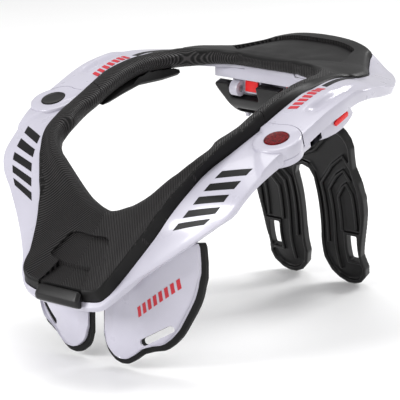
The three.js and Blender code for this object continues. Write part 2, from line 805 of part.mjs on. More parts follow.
// The back strut: a yoke and two legs with a strap slot in each
function strut() {
  const half = strutOutline.map(([x, z]) => [x * collarHalfWidth, z * collarHeight]);
  const otherHalf = half.slice(1, -1).reverse().map(([x, z]) => [-x, z]);
  const front = prismAlongY([...half, ...otherHalf], 0, far);
  const profile = [...bandLine(0), ...bandLine(strutThickness).reverse()];
  const level = block([-far, 0, 0], [far, far, far]);
  const sheet = prismAlongX(profile, -collarHalfWidth, collarHalfWidth).intersect(front).intersect(level);
  const lobeX = carrierOuterX * collarHalfWidth + 2 * fitGap;
  const lobes = sides.map((side) => {
    const ends = [side * lobeX, side * lobeOuterX * collarHalfWidth].sort((a, b) => a - b);
    return barAlongX(lobeRadius, ...ends, strutPivotY, strutPivotZ, 28);
  });
  const slots = sides.map((side) => {
    const x = side * strutSlot.x * collarHalfWidth;
    const z = strutSlot.z * collarHeight;
    return block([x - slotWidth / 2, 0, z - slotHeight / 2], [x + slotWidth / 2, far, z + slotHeight / 2]);
  });
  const bore = barAlongX(strutPinRadius + fitGap, -far, far, strutPivotY, strutPivotZ);
  return sheet.add(joined(lobes)).subtract(joined([...slots, bore]));
}

// The housing that carries the strut, fixed below the rear of the collar
function strutHousing(collarSpace) {
  const beamX = beamHalfWidth * collarHalfWidth;
  const headZ = beamHeadZ * collarHeight;
  const beam = block(
    [-beamX, beamFrontY * collarHalfLength, beamFootZ * collarHeight], [beamX, beamRearY * collarHalfLength, headZ]);
  const backLine = bandLine(strutThickness + padGap).filter(([y, z]) => {
    return y > blockFrontY * collarHalfLength && y < blockRearY * collarHalfLength && z > 0.7 * collarHeight;
  });
  const rear = blockRearY * collarHalfLength;
  const profile = [
    [blockFrontY * collarHalfLength, headZ],
    ...backLine,
    [rear, backLine[backLine.length - 1][1] + 2],
    [rear, headZ],
  ];
  const blockX = blockHalfWidth * collarHalfWidth;
  const rearBlock = prismAlongX(profile, -blockX, blockX);
  const carriers = sides.map((side) => {
    const x = [side * carrierInnerX * collarHalfWidth, side * carrierOuterX * collarHalfWidth];
    x.sort((a, b) => a - b);
    const box = block(
      [x[0], carrierFrontY * collarHalfLength, carrierFootZ * collarHeight],
      [x[1], beamRearY * collarHalfLength, headZ]);
    const earInner = side * (carrierOuterX * collarHalfWidth - earWidth);
    const earEnds = [earInner, side * carrierOuterX * collarHalfWidth].sort((a, b) => a - b);
    const ear = barAlongX(lobeRadius - 1, ...earEnds, strutPivotY, strutPivotZ, 28);
    return box.add(ear);
  });
  const leaves = sides.map((side) => {
    const outline = leafOutline.map(([y, z]) => [y * collarHalfLength, z * collarHeight]);
    const x = [side * leafX * collarHalfWidth, side * (leafX * collarHalfWidth + leafThickness)];
    x.sort((a, b) => a - b);
    return prismAlongX(outline, x[0], x[1]);
  });
  const bore = barAlongX(strutPinRadius + fitGap, -far, far, strutPivotY, strutPivotZ);
  const whole = joined([beam, rearBlock, ...carriers, ...leaves]);
  return whole.subtract(bore).subtract(collarSpace);
}

function strutPin(side) {
  const inner = carrierOuterX * collarHalfWidth - earWidth + fitGap;
  const ends = [side * inner, side * lobeOuterX * collarHalfWidth].sort((a, b) => a - b);
  return barAlongX(strutPinRadius, ...ends, strutPivotY, strutPivotZ);
}

// The red adjuster block on the front of a carrier.
function innerAdjusterBlock(side) {
  const x = side * innerAdjuster.x * collarHalfWidth;
  const z = innerAdjuster.z * collarHeight;
  const rear = carrierFrontY * collarHalfLength - fitGap;
  const low = [x - innerAdjuster.halfWidth, rear - adjusterRise, z - innerAdjuster.halfHeight];
  const high = [x + innerAdjuster.halfWidth, rear, z + innerAdjuster.halfHeight];
  return block(low, high);
}

// The red slanted bar on the outside of a leaf.
function outerAdjusterBar(side) {
  const outline = slotOutline(adjusterWidth, adjusterHeight).map(([a, b]) => {
    const y = a * Math.cos(outerAdjusterTurn) - b * Math.sin(outerAdjusterTurn);
    const z = a * Math.sin(outerAdjusterTurn) + b * Math.cos(outerAdjusterTurn);
    return [outerAdjuster.y * collarHalfLength + y, outerAdjuster.z * collarHeight + z];
  });
  const face = leafX * collarHalfWidth + leafThickness + fitGap;
  const x = [side * face, side * (face + adjusterRise)].sort((a, b) => a - b);
  return prismAlongX(outline, x[0], x[1]);
}

const brace = new THREE.Group();

function addPart(name, solid, look) {
  const mesh = new THREE.Mesh(geometryOf(solid), new THREE.MeshStandardMaterial(finish[look]));
  mesh.name = name;
  brace.add(mesh);
}

const frontSpace = collarSpace(-seamRow, seamRow);
const rearSpace = collarSpace(seamRow - 1, ringRows - seamRow + 1);

addPart("front_shell", frontShell(), "shell");
addPart("front_pad", frontPad(), "padding");
addPart("front_tab", frontTab(), "blackPlastic");
addPart("rear_shell", rearShell(), "shell");
addPart("rear_pad", rearPad(), "padding");
for (const side of sides) {
  const hand = side > 0 ? "left" : "right";
  addPart("chest_plate_" + hand, chestPlate(side, frontSpace), "shell");
  addPart("chest_pad_" + hand, chestPad(side, frontSpace), "foam");
  addPart("shoulder_pad_" + hand, shoulderPad(side, rearSpace), "foam");
  addPart("strut_pin_" + hand, strutPin(side), "steel");
  addPart("adjuster_inner_" + hand, innerAdjusterBlock(side), "redPlastic");
  addPart("adjuster_outer_" + hand, outerAdjusterBar(side), "redPlastic");
}
addPart("strut_housing", strutHousing(rearSpace), "shell");
addPart("strut", strut(), "blackPlastic");
addPart("hinge_pin", hingePin(), "steel");
addPart("hinge_cap", hingeCap(), "blackPlastic");
addPart("latch_button", latchButton(), "latchRed");

export default brace;
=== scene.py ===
import math

import bmesh
import bpy
import numpy as np
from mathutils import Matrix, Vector


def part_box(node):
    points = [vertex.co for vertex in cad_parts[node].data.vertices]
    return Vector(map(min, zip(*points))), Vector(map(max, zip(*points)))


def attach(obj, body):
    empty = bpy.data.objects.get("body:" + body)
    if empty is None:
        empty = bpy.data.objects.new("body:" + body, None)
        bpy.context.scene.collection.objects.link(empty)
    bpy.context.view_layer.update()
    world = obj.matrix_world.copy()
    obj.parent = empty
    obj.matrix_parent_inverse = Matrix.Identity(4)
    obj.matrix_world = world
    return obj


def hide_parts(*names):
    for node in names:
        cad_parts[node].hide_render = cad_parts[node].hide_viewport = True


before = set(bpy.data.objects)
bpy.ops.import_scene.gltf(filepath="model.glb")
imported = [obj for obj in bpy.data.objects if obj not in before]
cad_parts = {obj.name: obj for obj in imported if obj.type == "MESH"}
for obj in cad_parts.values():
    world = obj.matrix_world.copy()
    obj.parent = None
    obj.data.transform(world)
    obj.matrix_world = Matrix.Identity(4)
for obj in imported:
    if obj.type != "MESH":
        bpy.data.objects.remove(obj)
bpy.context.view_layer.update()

MM = 0.001

# Overall sizes, gaps and walls, in millimetres
HALF_WIDTH = 120
HALF_LENGTH = 163
HEIGHT = 190
PAD_GAP = 0.4
SEAM_GAP = 0.6
SHELL_WALL = 2.6
RIM_WALL = 3
SHELL_CROWN = 0.9
RIM_DEPTH = 5
SIDE_RIM_DEPTH = 8
SCOOP_DEPTH = 4.2
GROUND_RISE = 2

# How far in the shell's flange reaches below the padding, as shares of the padding's width
FRONT_FLANGE, SIDE_FLANGE, REAR_FLANGE = 0.72, 0.55, 0.9

# Padding
TUBE_RADIUS = 8.5
BEVEL_HEIGHT = 9.5
BEVEL_INSET = 3
BROW_ROUND = 2.4
PAD_CROWN = 3
PAD_SEAT = 2
FRONT_RECESS_DEPTH = 2.2
REAR_RECESS_DEPTH = 2.8
REAR_TOP_Y = 64

# Shoulder bosses, and the tongues of the rear half below them
BOSS = (103, -46.4, 164)
BOSS_TILT = math.radians(18)
BOSS_RADIUS = 17.5
BOSS_DEPTH = 8
BOSS_FAR = 90
TONGUE_RADIUS = 16.5
TONGUE_WALL = 5.6
TONGUE_TOP = -BOSS_DEPTH - PAD_GAP
TONGUE_EDGE = 0.6
TONGUE_REACH = 1.85 * BOSS_RADIUS
TONGUE_INNER, TONGUE_OUTER = -0.35 * TONGUE_RADIUS, 0.8 * TONGUE_RADIUS
CAP_LENGTH = 17.5
CAP_WIDTH = 18.5
CAP_SEAT = 3
CAP_GAP = 0.3
BUTTON_TRAVEL = 3
PIN_RADIUS = 4
PIN_BORE = PIN_RADIUS + CAP_GAP
PIN_BORE_DEPTH = 40

# The notch in the front pad for the tab
NOTCH_LENGTH = 15.8
NOTCH_HALF_WIDTH = 19.8
NOTCH_RISE = 0.55

# Chest plates and their foam
PLATE_INSET = 2.2
PLATE_RAISED = 4.6
PLATE_WALL = 3
CHEST_FOAM_SEAT = 3.3
CHEST_FOAM = 3.5
CHEST_TOP = 96
CHEST_FACE_Y = -0.742
CHEST_FLAT = 0.208
CHEST_BEND = 0.008
OUTER_CREASE = {"start": (74, 77), "end": (20, 16), "fall": 0.13}
INNER_CREASE = {"start": (14, 14), "end": (19, 60), "fall": 0.16}
CHEST_SLOT = {"x": 0.418, "z": 0.148, "half": 10.4, "radius": 2.6, "turn": math.radians(31.8)}

# Back strut
STRUT_FRONT = 0.3
STRUT_BACK = 7.2
STRUT_RIB_WIDTH = 2.6
STRUT_RIB_HEAD = 0.4
STRUT_RIB_FOOT = 4.5
STRUT_VOXEL = 0.7
STRUT_SLOT = {"x": 0.31, "z": 0.168, "half_width": 4.75, "half_height": 11, "rim": 2.5}

# Printed marks. Places and widths along the collar count its rows, reach is a share of the shell.
SIDE_BARS = {
    "count": 5, "first": 5.35, "pitch": 0.62, "width": 0.36, "reach": (0.26, 0.74), "slant": 0.5}
RED_DASHES = {
    "count": 7, "first": 11.95, "pitch": 0.23, "width": 0.13, "reach": (0.12, 0.32), "slant": 0.25}
REAR_STRIPE = {"first": 13.65, "width": 2.25, "reach": (0.08, 0.24)}
MARK_RISE = 0.14
DASH_RISE = 0.4
CHEST_DASHES = {"count": 8, "x": 39, "z": 41, "step_x": 3.7, "step_z": 3.1}

# Rows of the collar: one at the front centre, and 24 rows on to the rear centre
SEAM_ROW = 11
HALF_RING = 24
RING_ROWS = 48

# Steps of the sections
TOP_STEPS = 9
TUBE_STEPS = 12
BROW_STEPS = 4
SHELL_STEPS = 26
SIDES = (-1, 1)
HANDS = {-1: "right", 1: "left"}
FAR = 2 * HALF_LENGTH

# Area lights: name, place in metres, size and power
LIGHTS = [
    ("key", (-0.6, -1.5, 0.75), 0.6, 20),
    ("fill", (1.7, -0.5, 0.6), 0.8, 8),
    ("back", (0.3, 1.3, 1.1), 0.6, 13),
    ("top", (-0.3, 0.2, 1.7), 1.0, 12),
]
LIGHT_AIM = Vector((0, 0, 0.1))

# Collar rows from the front centre round the wearer's left to the rear centre, as shares
# Columns: tube centre x y z, seat line x y z, rim x y z, tube radius, bevel height, pad crown
COLLAR = np.array([
    (0, -0.646, 0.526, 0, -0.957, 0.297, 0, -0.966, 0.282, 1, 0.947, -0.5),
    (0.075, -0.644, 0.534, 0.233, -0.945, 0.305, 0.242, -0.954, 0.289, 1, 0.947, -0.4),
    (0.142, -0.641, 0.55, 0.317, -0.933, 0.332, 0.342, -0.926, 0.332, 1, 1, -0.3),
    (0.217, -0.63, 0.572, 0.35, -0.865, 0.384, 0.45, -0.837, 0.403, 1, 1, -0.4),
    (0.317, -0.61, 0.616, 0.388, -0.804, 0.445, 0.6, -0.742, 0.484, 1, 1, -0.667),
    (0.417, -0.596, 0.674, 0.442, -0.724, 0.532, 0.758, -0.663, 0.574, 1, 1, -0.667),
    (0.483, -0.582, 0.711, 0.492, -0.669, 0.611, 0.867, -0.617, 0.637, 1, 1, -0.5),
    (0.542, -0.546, 0.753, 0.558, -0.607, 0.692, 0.912, -0.571, 0.7, 1, 0.947, -0.333),
    (0.583, -0.496, 0.787, 0.608, -0.53, 0.758, 0.938, -0.466, 0.766, 1, 0.947, 0),
    (0.613, -0.405, 0.824, 0.658, -0.405, 0.816, 0.958, -0.38, 0.813, 1, 0.737, 0),
    (0.633, -0.282, 0.861, 0.683, -0.258, 0.868, 0.975, -0.282, 0.847, 1, 0.737, 0),
    (0.642, -0.196, 0.889, 0.688, -0.196, 0.886, 0.975, -0.184, 0.882, 1, 0.737, 0),
    (0.646, -0.061, 0.932, 0.7, -0.061, 0.932, 0.975, -0.037, 0.929, 1, 0.737, 0),
    (0.642, 0.092, 0.961, 0.696, 0.092, 0.97, 0.971, 0.074, 0.953, 0.941, 0.526, 0),
    (0.625, 0.233, 0.966, 0.688, 0.233, 0.988, 0.946, 0.209, 0.97, 0.941, 0.421, 0),
    (0.575, 0.35, 0.966, 0.658, 0.356, 0.984, 0.925, 0.331, 0.971, 0.882, 0.368, 0),
    (0.5, 0.405, 0.968, 0.667, 0.442, 0.974, 0.904, 0.429, 0.961, 0.824, 0.316, 0),
    (0.417, 0.439, 0.971, 0.692, 0.491, 0.968, 0.883, 0.515, 0.95, 0.706, 0.316, 0.167),
    (0.333, 0.457, 0.974, 0.667, 0.589, 0.961, 0.858, 0.589, 0.937, 0.647, 0.368, 0.333),
    (0.258, 0.477, 0.974, 0.608, 0.663, 0.953, 0.792, 0.675, 0.932, 0.612, 0.421, 0.5),
    (0.192, 0.477, 0.974, 0.525, 0.748, 0.95, 0.692, 0.785, 0.924, 0.612, 0.421, 0.667),
    (0.125, 0.477, 0.974, 0.417, 0.871, 0.963, 0.55, 0.908, 0.916, 0.612, 0.421, 1),
    (0.075, 0.477, 0.974, 0.358, 0.945, 0.979, 0.425, 0.975, 0.908, 0.612, 0.421, 0.667),
    (0.033, 0.477, 0.974, 0.208, 0.972, 1, 0.225, 0.997, 0.905, 0.612, 0.421, 0.333),
    (0, 0.477, 0.974, 0, 0.975, 1.008, 0, 1, 0.905, 0.612, 0.421, 0),
])

# Chest pad rows: x of the half width, then foot and head of the height
CHEST = np.array([
    (0.046, 0.12, 0.5), (0.055, 0.08, 0.51), (0.08, 0.05, 0.52), (0.13, 0.024, 0.53),
    (0.18, 0.016, 0.55), (0.228, 0.02, 0.57), (0.28, 0.04, 0.6), (0.333, 0.068, 0.62),
    (0.4, 0.084, 0.63), (0.464, 0.092, 0.62), (0.51, 0.118, 0.6), (0.55, 0.152, 0.58),
    (0.583, 0.2, 0.56), (0.61, 0.24, 0.54), (0.635, 0.285, 0.52), (0.65, 0.34, 0.49),
    (0.656, 0.39, 0.43),
])

# Front face of the back strut from the side: y of the half length and z of the height
STRUT_BAND = np.array([
    (0.466, 0.895), (0.503, 0.8), (0.552, 0.742), (0.626, 0.721), (0.699, 0.705), (0.727, 0.674),
    (0.733, 0.621), (0.748, 0.547), (0.779, 0.463), (0.816, 0.384), (0.84, 0.295), (0.859, 0.163),
    (0.896, 0.079), (0.956, -0.032),
])

# One half of the strut's outline from the front: x of the half width and z of the height
STRUT_OUTLINE = np.array([
    (0, 0.862), (0.092, 0.862), (0.092, 0.8), (0.304, 0.8), (0.304, 0.862), (0.408, 0.862),
    (0.417, 0.85), (0.37, 0.8), (0.335, 0.753), (0.325, 0.726), (0.312, 0.689), (0.35, 0.674),
    (0.383, 0.647), (0.4, 0.616), (0.4, 0.526), (0.425, 0.468), (0.433, 0.395), (0.425, 0.326),
    (0.392, 0.221), (0.367, 0.137), (0.383, 0.079), (0.367, 0.042), (0.317, 0.011), (0.267, 0),
    (0.208, 0), (0.15, 0.016), (0.1, 0.047), (0.067, 0.105), (0.071, 0.253), (0.071, 0.374),
    (0.075, 0.463), (0.05, 0.5), (0, 0.512),
])

# Raised ribs on the strut's front, as lines of x and z in mm
STRUT_RIBS = [
    [(15, 34), (15, 84), (29, 101), (40, 110), (46, 100), (48.5, 84), (48, 58)],
    [(22, 12), (21.5, 80), (31, 92), (39, 98), (43.5, 89)],
    [(28.5, 46), (28.5, 74), (34, 82), (39, 87), (42, 78), (42, 48)],
    [(0, 106), (13, 111), (30, 128)],
    [(0, 114), (12, 119), (27, 135)],
    [(0, 122), (11, 127), (22, 139)],
]

# One half of the recess that the ribs stand in, x and z in mm
STRUT_RECESS = [
    (-1, 101), (7, 99), (11, 92), (11.2, 72), (11, 48), (10.8, 22), (14, 11.5), (19.3, 6),
    (26, 3.2), (32, 3.2), (37, 5), (41.3, 10), (43, 15), (41.2, 26), (44.2, 42.5), (48, 62.5),
    (49, 75), (48.2, 88), (45.2, 99.5), (45.2, 116.5), (43.5, 121), (40, 125.5), (34.5, 129),
    (34.2, 131.5), (36, 138), (36.5, 143), (-1, 143),
]

# What is cut off the lower edges of the housing's leaves, y and z in mm
LEAF_TRIM_LEFT = [
    (70, 120), (135, 120), (135, 160), (122.5, 151), (125.8, 146.8), (126.4, 144.6), (124.8, 142),
    (120, 138.4), (113, 134.8), (104, 132.4), (94, 131.2), (84, 131), (70, 131),
]
LEAF_TRIM_RIGHT = [(70, 105), (113, 105), (113, 133), (104, 143), (94, 150), (70, 150)]


# Camera, at the photograph's angle
def make_camera():
    target = Vector((0, -0.002, 0.095))
    place = Vector((1.1065, -1.393, 0.563))
    data = bpy.data.cameras.new("camera")
    data.sensor_width = 36
    data.lens = 225
    data.clip_end = 20
    camera = bpy.data.objects.new("camera", data)
    camera.location = place
    camera.rotation_euler = (target - place).to_track_quat("-Z", "Y").to_euler()
    bpy.context.scene.collection.objects.link(camera)
    bpy.context.scene.camera = camera


make_camera()


# Material helpers
def new_material(name, color, roughness, **sockets):
    material = bpy.data.materials.new(name)
    material.use_nodes = True
    shader = material.node_tree.nodes["Principled BSDF"]
    shader.inputs["Base Color"].default_value = (*color, 1)
    shader.inputs["Roughness"].default_value = roughness
    for key, value in sockets.items():
        shader.inputs[key.replace("_", " ")].default_value = value
    return material, material.node_tree, shader


def node(tree, kind, **settings):
    made = tree.nodes.new(kind)
    for key, value in settings.items():
        if hasattr(made, key):
            setattr(made, key, value)
        else:
            made.inputs[key.replace("_", " ")].default_value = value
    return made


def object_place(tree):
    return node(tree, "ShaderNodeTexCoord").outputs["Object"]


def noise(tree, scale, detail=3.0):
    made = node(tree, "ShaderNodeTexNoise", Scale=scale, Detail=detail)
    tree.links.new(object_place(tree), made.inputs["Vector"])
    return made.outputs["Fac"]


def spread(tree, source, low, high):
    made = node(tree, "ShaderNodeMapRange", From_Min=0.3, From_Max=0.7, To_Min=low, To_Max=high)
    tree.links.new(source, made.inputs["Value"])
    return made.outputs["Result"]


def tint(tree, source, dark, light, low=0.3, high=0.7):
    ramp = node(tree, "ShaderNodeValToRGB")
    ramp.color_ramp.elements[0].position = low
    ramp.color_ramp.elements[1].position = high
    ramp.color_ramp.elements[0].color = (*dark, 1)
    ramp.color_ramp.elements[1].color = (*light, 1)
    tree.links.new(source, ramp.inputs["Fac"])
    return ramp.outputs["Color"]


def bump(tree, shader, heights):
    normal = None
    for height, distance, strength in heights:
        made = node(tree, "ShaderNodeBump", Distance=distance, Strength=strength)
        tree.links.new(height, made.inputs["Height"])
        if normal:
            tree.links.new(normal, made.inputs["Normal"])
        normal = made.outputs["Normal"]
    tree.links.new(normal, shader.inputs["Normal"])


def moulded(name, dark, light, rough, grain=900, grain_depth=0.00006, **sockets):
    material, tree, shader = new_material(name, light, rough[0], **sockets)
    tree.links.new(tint(tree, noise(tree, 22), dark, light), shader.inputs["Base Color"])
    tree.links.new(spread(tree, noise(tree, 60), *rough), shader.inputs["Roughness"])
    bump(tree, shader, [(noise(tree, grain, 2), grain_depth, 0.35), (noise(tree, 35), 0.0003, 0.12)])
    return material


def ribbed(name, pitch, depth):
    """Fine slanted ribs, mirrored about the middle of the object. Their colour carries painted shade in
    the grooves and a painted highlight on the crests.
    """
    material, tree, shader = new_material(name, (0.04, 0.037, 0.038), 0.5, Specular_IOR_Level=0.22)
    split = node(tree, "ShaderNodeSeparateXYZ")
    tree.links.new(object_place(tree), split.inputs["Vector"])
    mirrored = node(tree, "ShaderNodeMath", operation="ABSOLUTE")
    tree.links.new(split.outputs["X"], mirrored.inputs[0])
    across = node(tree, "ShaderNodeMath", operation="MULTIPLY")
    tree.links.new(mirrored.outputs["Value"], across.inputs[0])
    across.inputs[1].default_value = 2 * math.pi * 0.8 / pitch
    turns = node(tree, "ShaderNodeMath", operation="MULTIPLY_ADD")
    tree.links.new(split.outputs["Y"], turns.inputs[0])
    turns.inputs[1].default_value = 2 * math.pi * 0.6 / pitch
    tree.links.new(across.outputs["Value"], turns.inputs[2])
    wave = node(tree, "ShaderNodeMath", operation="SINE")
    tree.links.new(turns.outputs["Value"], wave.inputs[0])
    # Painted light: the rib colour is darker in the grooves as painted shade and lighter on the crests
    # as a painted highlight.
    painted_groove_shade, painted_crest_highlight = (0.0015, 0.0014, 0.0015), (0.036, 0.033, 0.034)
    tree.links.new(
        tint(tree, wave.outputs["Value"], painted_groove_shade, painted_crest_highlight, -0.5, 0.95), shader.inputs["Base Color"])
    tree.links.new(spread(tree, noise(tree, 50), 0.42, 0.54), shader.inputs["Roughness"])
    bump(tree, shader, [(wave.outputs["Value"], depth, 0.9), (noise(tree, 1200, 2), 0.00005, 0.3)])
    return material


def textured_red():
    """Dark glossy red with a cellular grain."""
    material, tree, shader = new_material(
        "latch_red", (0.1, 0.001, 0.003), 0.32, Specular_IOR_Level=0.16)
    cells = node(tree, "ShaderNodeTexVoronoi", Scale=700.0)
    tree.links.new(object_place(tree), cells.inputs["Vector"])
    bright, deep = (0.2, 0.0006, 0.004), (0.035, 0.0002, 0.001)
    tree.links.new(
        tint(tree, cells.outputs["Distance"], bright, deep, 0.1, 0.8), shader.inputs["Base Color"])
    bump(tree, shader, [(cells.outputs["Distance"], 0.0002, 0.6)])
    return material


MATERIALS = {
    "shell": moulded(
        "shell", (0.43, 0.418, 0.485), (0.48, 0.467, 0.54), (0.26, 0.36), Coat_Weight=0.3),
    "pad": ribbed("pad", 0.0012, 0.00025),
    "pad_edge": moulded(
        "pad_edge", (0.002, 0.0018, 0.002), (0.004, 0.0036, 0.0038), (0.42, 0.52),
        Specular_IOR_Level=0.2),
    "foam": moulded(
        "foam", (0.002, 0.002, 0.0022), (0.004, 0.0038, 0.004), (0.5, 0.65), 500, 0.00015,
        Specular_IOR_Level=0.25),
    "black_plastic": moulded(
        "black_plastic", (0.002, 0.0018, 0.002), (0.0045, 0.004, 0.0043), (0.3, 0.4),
        Specular_IOR_Level=0.3),
    "red_plastic": moulded(
        "red_plastic", (0.6, 0.01, 0.012), (0.76, 0.018, 0.018), (0.26, 0.36),
        Specular_IOR_Level=0.3),
    "marking_black": moulded(
        "marking_black", (0.004, 0.004, 0.0045), (0.007, 0.007, 0.0075), (0.4, 0.5),
        Specular_IOR_Level=0.2),
    "marking_red": moulded("marking_red", (0.42, 0.004, 0.016), (0.54, 0.008, 0.024), (0.34, 0.44)),
    "steel": moulded("steel", (0.42, 0.42, 0.44), (0.6, 0.6, 0.62), (0.25, 0.38), Metallic=1.0),
    "latch_red": textured_red(),
}
BOX_FACES = [(0, 1, 3, 2), (4, 6, 7, 5), (0, 4, 5, 1), (2, 3, 7, 6), (0, 2, 6, 4), (1, 5, 7, 3)]
BAR_FACES = [(0, 1, 2, 3), (7, 6, 5, 4), (0, 4, 5, 1), (1, 5, 6, 2), (2, 6, 7, 3), (3, 7, 4, 0)]


# Mesh helpers, which take millimetres
def make_piece(name, points, faces):
    mesh = bpy.data.meshes.new(name)
    mesh.from_pydata([tuple(np.asarray(p) * MM) for p in points], [], faces)
    piece = bpy.data.objects.new(name, mesh)
    bpy.context.scene.collection.objects.link(piece)
    work = bmesh.new()
    work.from_mesh(mesh)
    bmesh.ops.remove_doubles(work, verts=work.verts, dist=1e-7)
    bmesh.ops.recalc_face_normals(work, faces=work.faces)
    work.to_mesh(mesh)
    work.free()
    return piece


def finish_piece(piece, body, replaces=(), sharp=38):
    piece.data.shade_smooth()
    piece.data.set_sharp_from_angle(angle=math.radians(sharp))
    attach(piece, body)
    if replaces:
        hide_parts(*replaces)


def dress(piece, key, body, replaces=(), sharp=38):
    piece.data.materials.clear()
    piece.data.materials.append(MATERIALS[key])
    finish_piece(piece, body, replaces, sharp)


def loft_data(rings):
    """Points and faces of a closed solid through rings of as many points each."""
    count = len(rings[0])
    points = [point for ring in rings for point in ring]
    faces = []
    for i in range(len(rings) - 1):
        for j in range(count):
            a = i * count + j
            b = i * count + (j + 1) % count
            faces.append((a, b, b + count, a + count))
    faces.append(tuple(reversed(range(count))))
    faces.append(tuple(range(len(points) - count, len(points))))
    return points, faces


def apply_modifiers(piece):
    bpy.context.view_layer.update()
    evaluated = piece.evaluated_get(bpy.context.evaluated_depsgraph_get())
    mesh = bpy.data.meshes.new_from_object(evaluated)
    old = piece.data
    piece.modifiers.clear()
    piece.data = mesh
    bpy.data.meshes.remove(old)


def boolean(piece, cutter, operation):
    modifier = piece.modifiers.new("cut", "BOOLEAN")
    modifier.operation = operation
    modifier.solver = "EXACT"
    modifier.object = cutter
    apply_modifiers(piece)
    bpy.data.objects.remove(cutter)


def join(piece, others):
    work = bmesh.new()
    work.from_mesh(piece.data)
    for other in others:
        work.from_mesh(other.data)
        bpy.data.objects.remove(other)
    work.to_mesh(piece.data)
    work.free()


def bevelled(piece, width, segments=3, angle=30):
    modifier = piece.modifiers.new("edge", "BEVEL")
    modifier.width = width * MM
    modifier.segments = segments
    modifier.limit_method = "ANGLE"
    modifier.angle_limit = math.radians(angle)
    apply_modifiers(piece)


def tool(points, faces):
    return make_piece("tool", points, faces)


def box_corners(low, high):
    return [(x, y, z) for x in (low[0], high[0]) for y in (low[1], high[1]) for z in (low[2], high[2])]


def box_tool(low, high):
    return tool(box_corners(low, high), BOX_FACES)


def on_boss(side, x, y, height):
    """A place given across a boss and up its tilted axis."""
    c, s = math.cos(BOSS_TILT), math.sin(BOSS_TILT)
    return (side * BOSS[0] + x, BOSS[1] + y * c - height * s, BOSS[2] + y * s + height * c)


def disc_data(side, profile, stretch=(1, 1), count=96):
    """A turned solid about a boss axis, from (radius, height) points from the bottom up."""
    angles = [2 * math.pi * i / count for i in range(count)]
    rings = []
    for radius, height in profile:
        wide, long = radius * stretch[0], radius * stretch[1]
        rings.append([on_boss(side, wide * math.cos(a), long * math.sin(a), height) for a in angles])
    return loft_data(rings)


def disc_tool(side, radius, low, high, stretch=(1, 1)):
    return tool(*disc_data(side, ((radius, low), (radius, high)), stretch))


# Collar rails and sections
def rail(first, mirrored):
    """Three columns of the collar's rows, taken all the way round the ring."""
    points = []
    for i in range(RING_ROWS):
        other = i > HALF_RING
        point = COLLAR[RING_ROWS - i if other else i][first:first + 3].copy()
        if other and mirrored:
            point[0] = -point[0]
        points.append(point)
    return np.array(points)


SCALE = np.array((HALF_WIDTH, HALF_LENGTH, HEIGHT))
RAILS = {"tube": rail(0, True) * SCALE, "seat": rail(3, True) * SCALE, "rim": rail(6, True) * SCALE}
PROFILE = rail(9, False)


def on_rail(points, row):
    """Place and heading on a smooth closed curve through the points."""
    count = len(points)
    i = math.floor(row)
    f = row - i
    p0, p1, p2, p3 = (points[(i + k) % count] for k in (-1, 0, 1, 2))
    m1, m2 = (p2 - p0) / 2, (p3 - p1) / 2
    h = (2 * f**3 - 3 * f**2 + 1, f**3 - 2 * f**2 + f, -2 * f**3 + 3 * f**2, f**3 - f**2)
    d = (6 * f**2 - 6 * f, 3 * f**2 - 4 * f + 1, -6 * f**2 + 6 * f, 3 * f**2 - 2 * f)
    place = h[0] * p1 + h[1] * m1 + h[2] * p2 + h[3] * m2
    heading = d[0] * p1 + d[1] * m1 + d[2] * p2 + d[3] * m2
    return place, heading


def unit(v):
    return v / np.linalg.norm(v)


def smoothstep(value, low, high):
    t = min(1, max(0, (value - low) / (high - low)))
    return t * t * (3 - 2 * t)


def folded(row):
    """The row on the wearer's left that mirrors this one."""
    return HALF_RING - abs(HALF_RING - abs(row))


class Station:
    """Everything known about the collar at one place round the ring, counted in rows."""

    def __init__(self, row):
        self.tube, tube_way = on_rail(RAILS["tube"], row)
        self.seat, seat_way = on_rail(RAILS["seat"], row)
        self.rim, _ = on_rail(RAILS["rim"], row)
        along = unit(unit(tube_way) + unit(seat_way))
        self.chord = np.linalg.norm(self.seat - self.tube)
        self.outward = unit(self.seat - self.tube)
        self.up = unit(np.cross(self.outward, along))
        self.width = np.linalg.norm(self.rim - self.seat)
        self.spread = smoothstep(self.width, 4, 14)
        side = unit(self.rim - self.seat)
        self.shell_out = unit(self.outward * (1 - self.spread) + side * self.spread)
        self.shell_up = unit(np.cross(self.shell_out, along))
        profile, _ = on_rail(PROFILE, row)
        self.radius = profile[0] * TUBE_RADIUS
        self.bevel = profile[1] * BEVEL_HEIGHT
        self.crown = profile[2] * PAD_CROWN
        self.place = folded(row)

    def at(self, a, b):
        return self.seat + a * self.outward + b * self.up

    def on_shell(self, base, a, b):
        return base + a * self.shell_out + b * self.shell_up


def flange_share(place):
    """How far in below the padding the shell reaches, as a share of the padding's width."""
    front = FRONT_FLANGE + (SIDE_FLANGE - FRONT_FLANGE) * smoothstep(place, 6, 9)
    return front + (REAR_FLANGE - front) * smoothstep(place, 15, 18)


def lip_depth(place):
    side = RIM_DEPTH + (SIDE_RIM_DEPTH - RIM_DEPTH) * smoothstep(place, 7, 10)
    return side + (RIM_DEPTH - side) * smoothstep(place, 16, 19)


